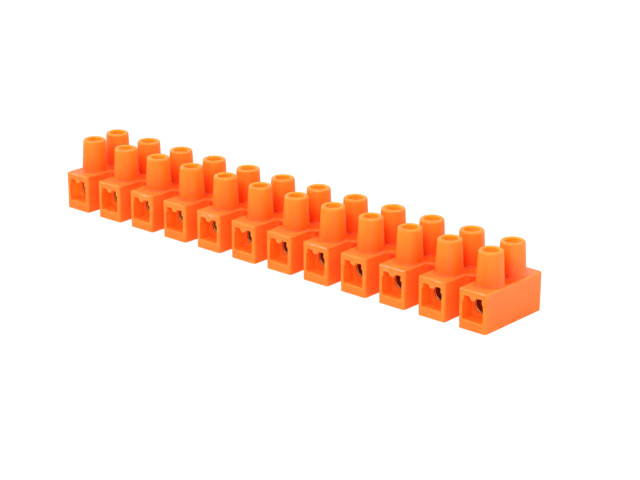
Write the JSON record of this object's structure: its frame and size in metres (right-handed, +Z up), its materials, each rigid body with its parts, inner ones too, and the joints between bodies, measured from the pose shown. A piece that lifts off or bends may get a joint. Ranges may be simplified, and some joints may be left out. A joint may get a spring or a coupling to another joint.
{
  "type": "screw terminal block",
  "caption": "Moulded strip of terminal poles, each a drafted block with square wire entries, a brass clamping sleeve inside and two round turrets over slotted clamping screws.",
  "frame": {"origin": "under the middle of the strip, on the face that it stands on", "axes": "+X along the row of poles, +Y from the front wire side to the rear one, +Z up through the turrets"},
  "size_m": [0.1168, 0.0182, 0.0154],
  "materials": {
    "housing_plastic": "satin",
    "sleeve_brass": "satin",
    "screw_steel": "satin"
  },
  "bodies": {
    "strip": {"housing": "housing_plastic", "sleeve_01": "sleeve_brass", "sleeve_02": "sleeve_brass", "sleeve_03": "sleeve_brass", "sleeve_04": "sleeve_brass", "sleeve_05": "sleeve_brass", "sleeve_06": "sleeve_brass", "sleeve_07": "sleeve_brass", "sleeve_08": "sleeve_brass", "sleeve_09": "sleeve_brass", "sleeve_10": "sleeve_brass", "sleeve_11": "sleeve_brass", "sleeve_12": "sleeve_brass"},
    "screw_front_01_body": {"screw_front_01": "screw_steel"},
    "screw_front_02_body": {"screw_front_02": "screw_steel"},
    "screw_front_03_body": {"screw_front_03": "screw_steel"},
    "screw_front_04_body": {"screw_front_04": "screw_steel"},
    "screw_front_05_body": {"screw_front_05": "screw_steel"},
    "screw_front_06_body": {"screw_front_06": "screw_steel"},
    "screw_front_07_body": {"screw_front_07": "screw_steel"},
    "screw_front_08_body": {"screw_front_08": "screw_steel"},
    "screw_front_09_body": {"screw_front_09": "screw_steel"},
    "screw_front_10_body": {"screw_front_10": "screw_steel"},
    "screw_front_11_body": {"screw_front_11": "screw_steel"},
    "screw_front_12_body": {"screw_front_12": "screw_steel"},
    "screw_rear_01_body": {"screw_rear_01": "screw_steel"},
    "screw_rear_02_body": {"screw_rear_02": "screw_steel"},
    "screw_rear_03_body": {"screw_rear_03": "screw_steel"},
    "screw_rear_04_body": {"screw_rear_04": "screw_steel"},
    "screw_rear_05_body": {"screw_rear_05": "screw_steel"},
    "screw_rear_06_body": {"screw_rear_06": "screw_steel"},
    "screw_rear_07_body": {"screw_rear_07": "screw_steel"},
    "screw_rear_08_body": {"screw_rear_08": "screw_steel"},
    "screw_rear_09_body": {"screw_rear_09": "screw_steel"},
    "screw_rear_10_body": {"screw_rear_10": "screw_steel"},
    "screw_rear_11_body": {"screw_rear_11": "screw_steel"},
    "screw_rear_12_body": {"screw_rear_12": "screw_steel"}
  },
  "joints": [
    {"name": "screw_front_01_travel", "type": "slide", "parent": "strip", "child": "screw_front_01_body", "axis": [0, 0, -1], "range_m": [0, 0.0029]},
    {"name": "screw_front_02_travel", "type": "slide", "parent": "strip", "child": "screw_front_02_body", "axis": [0, 0, -1], "range_m": [0, 0.0029]},
    {"name": "screw_front_03_travel", "type": "slide", "parent": "strip", "child": "screw_front_03_body", "axis": [0, 0, -1], "range_m": [0, 0.0029]},
    {"name": "screw_front_04_travel", "type": "slide", "parent": "strip", "child": "screw_front_04_body", "axis": [0, 0, -1], "range_m": [0, 0.0029]},
    {"name": "screw_front_05_travel", "type": "slide", "parent": "strip", "child": "screw_front_05_body", "axis": [0, 0, -1], "range_m": [0, 0.0029]},
    {"name": "screw_front_06_travel", "type": "slide", "parent": "strip", "child": "screw_front_06_body", "axis": [0, 0, -1], "range_m": [0, 0.0029]},
    {"name": "screw_front_07_travel", "type": "slide", "parent": "strip", "child": "screw_front_07_body", "axis": [0, 0, -1], "range_m": [0, 0.0029]},
    {"name": "screw_front_08_travel", "type": "slide", "parent": "strip", "child": "screw_front_08_body", "axis": [0, 0, -1], "range_m": [0, 0.0029]},
    {"name": "screw_front_09_travel", "type": "slide", "parent": "strip", "child": "screw_front_09_body", "axis": [0, 0, -1], "range_m": [0, 0.0029]},
    {"name": "screw_front_10_travel", "type": "slide", "parent": "strip", "child": "screw_front_10_body", "axis": [0, 0, -1], "range_m": [0, 0.0029]},
    {"name": "screw_front_11_travel", "type": "slide", "parent": "strip", "child": "screw_front_11_body", "axis": [0, 0, -1], "range_m": [0, 0.0029]},
    {"name": "screw_front_12_travel", "type": "slide", "parent": "strip", "child": "screw_front_12_body", "axis": [0, 0, -1], "range_m": [0, 0.0029]},
    {"name": "screw_rear_01_travel", "type": "slide", "parent": "strip", "child": "screw_rear_01_body", "axis": [0, 0, -1], "range_m": [0, 0.0029]},
    {"name": "screw_rear_02_travel", "type": "slide", "parent": "strip", "child": "screw_rear_02_body", "axis": [0, 0, -1], "range_m": [0, 0.0029]},
    {"name": "screw_rear_03_travel", "type": "slide", "parent": "strip", "child": "screw_rear_03_body", "axis": [0, 0, -1], "range_m": [0, 0.0029]},
    {"name": "screw_rear_04_travel", "type": "slide", "parent": "strip", "child": "screw_rear_04_body", "axis": [0, 0, -1], "range_m": [0, 0.0029]},
    {"name": "screw_rear_05_travel", "type": "slide", "parent": "strip", "child": "screw_rear_05_body", "axis": [0, 0, -1], "range_m": [0, 0.0029]},
    {"name": "screw_rear_06_travel", "type": "slide", "parent": "strip", "child": "screw_rear_06_body", "axis": [0, 0, -1], "range_m": [0, 0.0029]},
    {"name": "screw_rear_07_travel", "type": "slide", "parent": "strip", "child": "screw_rear_07_body", "axis": [0, 0, -1], "range_m": [0, 0.0029]},
    {"name": "screw_rear_08_travel", "type": "slide", "parent": "strip", "child": "screw_rear_08_body", "axis": [0, 0, -1], "range_m": [0, 0.0029]},
    {"name": "screw_rear_09_travel", "type": "slide", "parent": "strip", "child": "screw_rear_09_body", "axis": [0, 0, -1], "range_m": [0, 0.0029]},
    {"name": "screw_rear_10_travel", "type": "slide", "parent": "strip", "child": "screw_rear_10_body", "axis": [0, 0, -1], "range_m": [0, 0.0029]},
    {"name": "screw_rear_11_travel", "type": "slide", "parent": "strip", "child": "screw_rear_11_body", "axis": [0, 0, -1], "range_m": [0, 0.0029]},
    {"name": "screw_rear_12_travel", "type": "slide", "parent": "strip", "child": "screw_rear_12_body", "axis": [0, 0, -1], "range_m": [0, 0.0029]}
  ]
}
